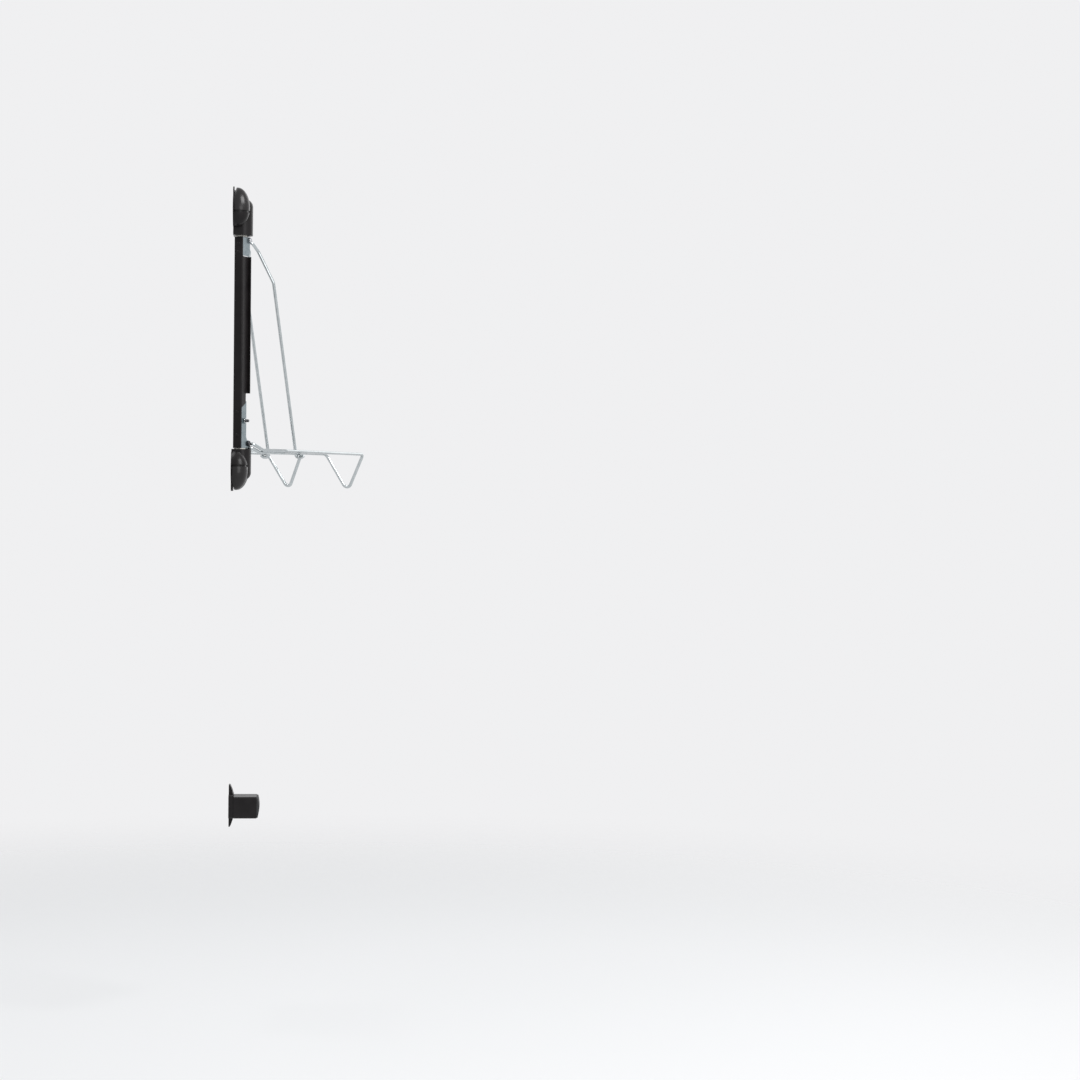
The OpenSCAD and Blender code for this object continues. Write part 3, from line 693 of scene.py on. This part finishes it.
def long_arm():
    """The lower arm's outer wire, from the front of the barrel to the loop at the arm's end."""
    start = LOW_HINGE[0] + LOW_BARREL_R + WIRE_R + WELD_GAP
    half = [(start, WIRE_END_GAP, LOW_HINGE[1]),
            (start, ARM_CROSS_HALF, LOW_HINGE[1]),
            (JOG_OUT, JOG_HALF, SIDE_Z),
            (SHOULDER_OUT, ARM_HALF, SIDE_Z),
            (ARM_REACH, ARM_HALF, SIDE_Z)]
    foot = (ARM_REACH + LOOP_LEAN, 0, SIDE_Z - LOOP_DROP)

    def welds(form):
        barrel_welds(form, LOW_HINGE, LOWER_BEAD_HALF, ARM_BEADS)
        stitch_welds(form)

    closed_wire("lower_arm_wire", half, foot, LOWER_BENDS + [LOOP_CORNER_R], LOOP_FOOT_R, welds)


def cradle():
    """The wire inside and below the long arm's, with a drop of its own for the wheel."""
    grip = LOW_BARREL_R + WIRE_R + WELD_GAP
    start = LOW_HINGE[0] + grip * math.cos(math.pi / 4)
    start_z = LOW_HINGE[1] - grip * math.sin(math.pi / 4)
    s, c = math.sin(SPREAD), math.cos(SPREAD)
    half = [(start, WIRE_END_GAP, start_z),
            (start, CRADLE_CROSS_HALF, start_z),
            (JOG_OUT + STACK_SIDE * s - JOG_LEAD * c,
             JOG_HALF - STACK_SIDE * c - JOG_LEAD * s, CRADLE_Z),
            (SHOULDER_OUT + STACK_SIDE * math.tan(SPREAD / 2), CRADLE_HALF, CRADLE_Z),
            (CRADLE_OUT, CRADLE_HALF, CRADLE_Z)]
    foot = (CRADLE_OUT + CRADLE_LEAN, 0, CRADLE_Z - CRADLE_DROP)

    def welds(form):
        barrel_welds(form, LOW_HINGE, LOWER_BEAD_HALF, CRADLE_BEADS)

    closed_wire("lower_cradle_wire", half, foot, LOWER_BENDS + [CRADLE_CORNER_R], CRADLE_FOOT_R,
                welds)


def upper_arm():
    """The upper arm's wire, from hook to hook through its cross piece at the barrel."""
    grip = HIGH_BARREL_R + WIRE_R + WELD_GAP
    start = HIGH_HINGE[0] + grip * math.cos(UPPER_DIP)
    start_z = HIGH_HINGE[1] - grip * math.sin(UPPER_DIP)
    hook_out = CRADLE_OUT - HOOK_BACK
    hook_side = CRADLE_HALF - 2 * WIRE_R - HOOK_GAP
    hook_z = CRADLE_Z - 2 * WIRE_R - HOOK_GAP
    tip_side = ARM_HALF + HOOK_PAST
    half = [(start, UPPER_CROSS_HALF, start_z),
            (NECK_OUT, NECK_HALF, start_z - NECK_DROP),
            (ELBOW_OUT, hook_side, HIGH_FACE - ELBOW_DROP),
            (hook_out, hook_side, hook_z),
            (hook_out, tip_side - HOOK_TIP, hook_z),
            (hook_out, tip_side, hook_z + HOOK_TIP_RISE)]
    path = [(out, -side, z) for out, side, z in reversed(half)] + half

    def welds(form):
        barrel_welds(form, HIGH_HINGE, UPPER_BEAD_HALF, UPPER_BEADS)

    wire("upper_arm_wire", path, UPPER_BENDS[::-1] + UPPER_BENDS, TIP_ROUND, welds)


# The stage

FLOOR_LEVEL = -1.14
FLOOR_REACH = 3.4
FLOOR_MIDDLE = (0.15, -0.15)
# Distances from the middle of the floor where it starts and ends to fade into the background
FADE_START, FADE_END = 0.9, 3.2

# Name, place, the point that it faces, width and height, and watts
LIGHTS = (
    ("key", (-2.4, -3.8, 3.2), (0.1, -0.1, -0.1), (2.8, 2.2), 200),
    ("front", (-4.3, -3.1, 0.4), (0.1, -0.1, 0), (2.4, 2.4), 44),
    ("fill", (3.6, -2.6, 1.4), (0.1, -0.1, 0), (2.6, 3.0), 18),
    ("top", (0.3, 1.6, 3.4), (0.1, -0.1, -0.2), (3.0, 2.4), 70),
)

# The camera that matches the photograph, its angles in radians and its lens in millimetres
CAMERA_PLACE = (-5.2, -0.1951, -0.0428)
YAW, PITCH, ROLL = -0.08615, -0.01863, 0.0106
LENS, SENSOR = 82.88, 36


def pale_floor():
    """A pale matt floor that fades into the background away from the rack."""
    material = shader("pale_floor", (0.84, 0.84, 0.84), roughness=0.9)
    far = node(material, "ShaderNodeVectorMath", operation="LENGTH")
    link(material, node(material, "ShaderNodeTexCoord").outputs["Object"], far.inputs[0])
    fade = node(material, "ShaderNodeMapRange", interpolation_type="SMOOTHSTEP")
    fade.inputs["From Min"].default_value = FADE_START
    fade.inputs["From Max"].default_value = FADE_END
    link(material, far.outputs["Value"], fade.inputs["Value"])
    mix = node(material, "ShaderNodeMixShader")
    link(material, fade.outputs["Result"], mix.inputs["Fac"])
    link(material, principled(material).outputs[0], mix.inputs[1])
    link(material, node(material, "ShaderNodeBsdfTransparent").outputs[0], mix.inputs[2])
    surface = material.node_tree.nodes["Material Output"].inputs["Surface"]
    link(material, mix.outputs[0], surface)
    return material


def floor():
    mesh = bpy.data.meshes.new("floor")
    corners = [(-1, -1), (1, -1), (1, 1), (-1, 1)]
    mesh.from_pydata([(x * FLOOR_REACH, y * FLOOR_REACH, 0) for x, y in corners], [],
                     [(0, 1, 2, 3)])
    mesh.materials.append(pale_floor())
    piece = new_piece("floor", mesh)
    piece.location = (*FLOOR_MIDDLE, FLOOR_LEVEL)


def area_light(name, place, aim, size, power):
    lamp = bpy.data.lights.new(name, "AREA")
    lamp.shape = "RECTANGLE"
    lamp.size, lamp.size_y = size
    lamp.energy = power
    holder = bpy.data.objects.new(name, lamp)
    holder.location = place
    holder.rotation_euler = (Vector(aim) - Vector(place)).to_track_quat("-Z", "Y").to_euler()
    bpy.context.scene.collection.objects.link(holder)


def surroundings():
    """A cool, dim light all round, seen by the camera and in reflections as a pale grey room."""
    world = bpy.data.worlds.new("studio")
    bpy.context.scene.world = world
    world.use_nodes = True
    tree = world.node_tree
    light = tree.nodes["Background"]
    light.inputs["Color"].default_value = (0.93, 0.96, 1.0, 1)
    light.inputs["Strength"].default_value = 0.4
    seen = tree.nodes.new("ShaderNodeBackground")
    seen.inputs["Color"].default_value = (0.87, 0.87, 0.88, 1)
    rays = tree.nodes.new("ShaderNodeLightPath")
    mix = tree.nodes.new("ShaderNodeMixShader")
    plain = rays.outputs["Is Camera Ray"]
    for kind in ("Is Glossy Ray", "Is Transmission Ray"):
        either = tree.nodes.new("ShaderNodeMath")
        either.operation = "MAXIMUM"
        tree.links.new(plain, either.inputs[0])
        tree.links.new(rays.outputs[kind], either.inputs[1])
        plain = either.outputs[0]
    tree.links.new(plain, mix.inputs["Fac"])
    tree.links.new(light.outputs[0], mix.inputs[1])
    tree.links.new(seen.outputs[0], mix.inputs[2])
    tree.links.new(mix.outputs[0], tree.nodes["World Output"].inputs["Surface"])


def camera():
    lens = bpy.data.cameras.new("camera")
    lens.lens = LENS
    lens.sensor_width = SENSOR
    holder = bpy.data.objects.new("camera", lens)
    bpy.context.scene.collection.objects.link(holder)
    holder.location = CAMERA_PLACE
    level = math.cos(PITCH)
    way = Vector((level * math.cos(YAW), level * math.sin(YAW), math.sin(PITCH)))
    rolled = Matrix.Rotation(ROLL, 3, "Z").to_quaternion()
    holder.rotation_mode = "QUATERNION"
    holder.rotation_quaternion = way.to_track_quat("-Z", "Y") @ rolled
    bpy.context.scene.camera = holder


bpy.context.scene.view_settings.view_transform = "Standard"
camera()
floor()
surroundings()
for light in LIGHTS:
    area_light(*light)
long_arm()
cradle()
upper_arm()
fasteners()
hinge_hardware()
rivets()
for part, width in EDGE_WIDTH.items():
    softened(part, width * MM)
